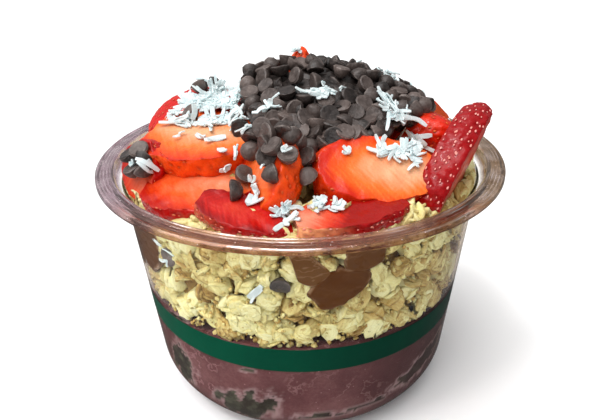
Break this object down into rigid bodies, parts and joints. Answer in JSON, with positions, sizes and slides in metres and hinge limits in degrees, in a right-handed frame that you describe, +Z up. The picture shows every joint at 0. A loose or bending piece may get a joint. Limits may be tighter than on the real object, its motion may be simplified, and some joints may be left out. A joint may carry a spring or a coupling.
{
  "type": "acai bowl",
  "caption": "Clear plastic bowl of acai puree under granola, topped with cut strawberries, chocolate spread, chocolate drops and coconut.",
  "frame": {"origin": "centre of the bowl's foot, on the plane it stands on", "axes": "+Z up along the bowl's axis; -Y towards the side that is served to the eater; +X to that person's right"},
  "size_m": [0.12, 0.12, 0.1022],
  "materials": {
    "clear_plastic": "clear gloss with a coloured band",
    "acai_puree": "moist satin",
    "toasted_oats": "dry and flaky",
    "chocolate_spread": "smooth gloss",
    "strawberry_flesh": "wet gloss",
    "dark_chocolate": "dusty satin"
  },
  "bodies": {
    "root": {"bowl": "clear_plastic", "acai_puree": "acai_puree", "granola": "toasted_oats", "chocolate_spread_front": "chocolate_spread", "chocolate_spread_left": "chocolate_spread", "chocolate_drop_mound": "dark_chocolate", "strawberry_right_half": "strawberry_flesh", "strawberry_front_right_slice": "strawberry_flesh", "strawberry_front_left_slice": "strawberry_flesh", "strawberry_left_half": "strawberry_flesh", "strawberry_low_left_slice": "strawberry_flesh", "strawberry_left_end_slice": "strawberry_flesh", "strawberry_right_end_slice": "strawberry_flesh", "strawberry_middle_half": "strawberry_flesh", "strawberry_right_tip": "strawberry_flesh", "strawberry_upper_left_half": "strawberry_flesh", "strawberry_centre_half": "strawberry_flesh", "strawberry_centre_right_half": "strawberry_flesh", "strawberry_centre_back_half": "strawberry_flesh", "strawberry_summit_tip": "strawberry_flesh", "strawberry_back_right_slice": "strawberry_flesh", "strawberry_back_centre_right_slice": "strawberry_flesh", "strawberry_back_centre_left_slice": "strawberry_flesh", "strawberry_back_left_slice": "strawberry_flesh"}
  },
  "joints": []
}
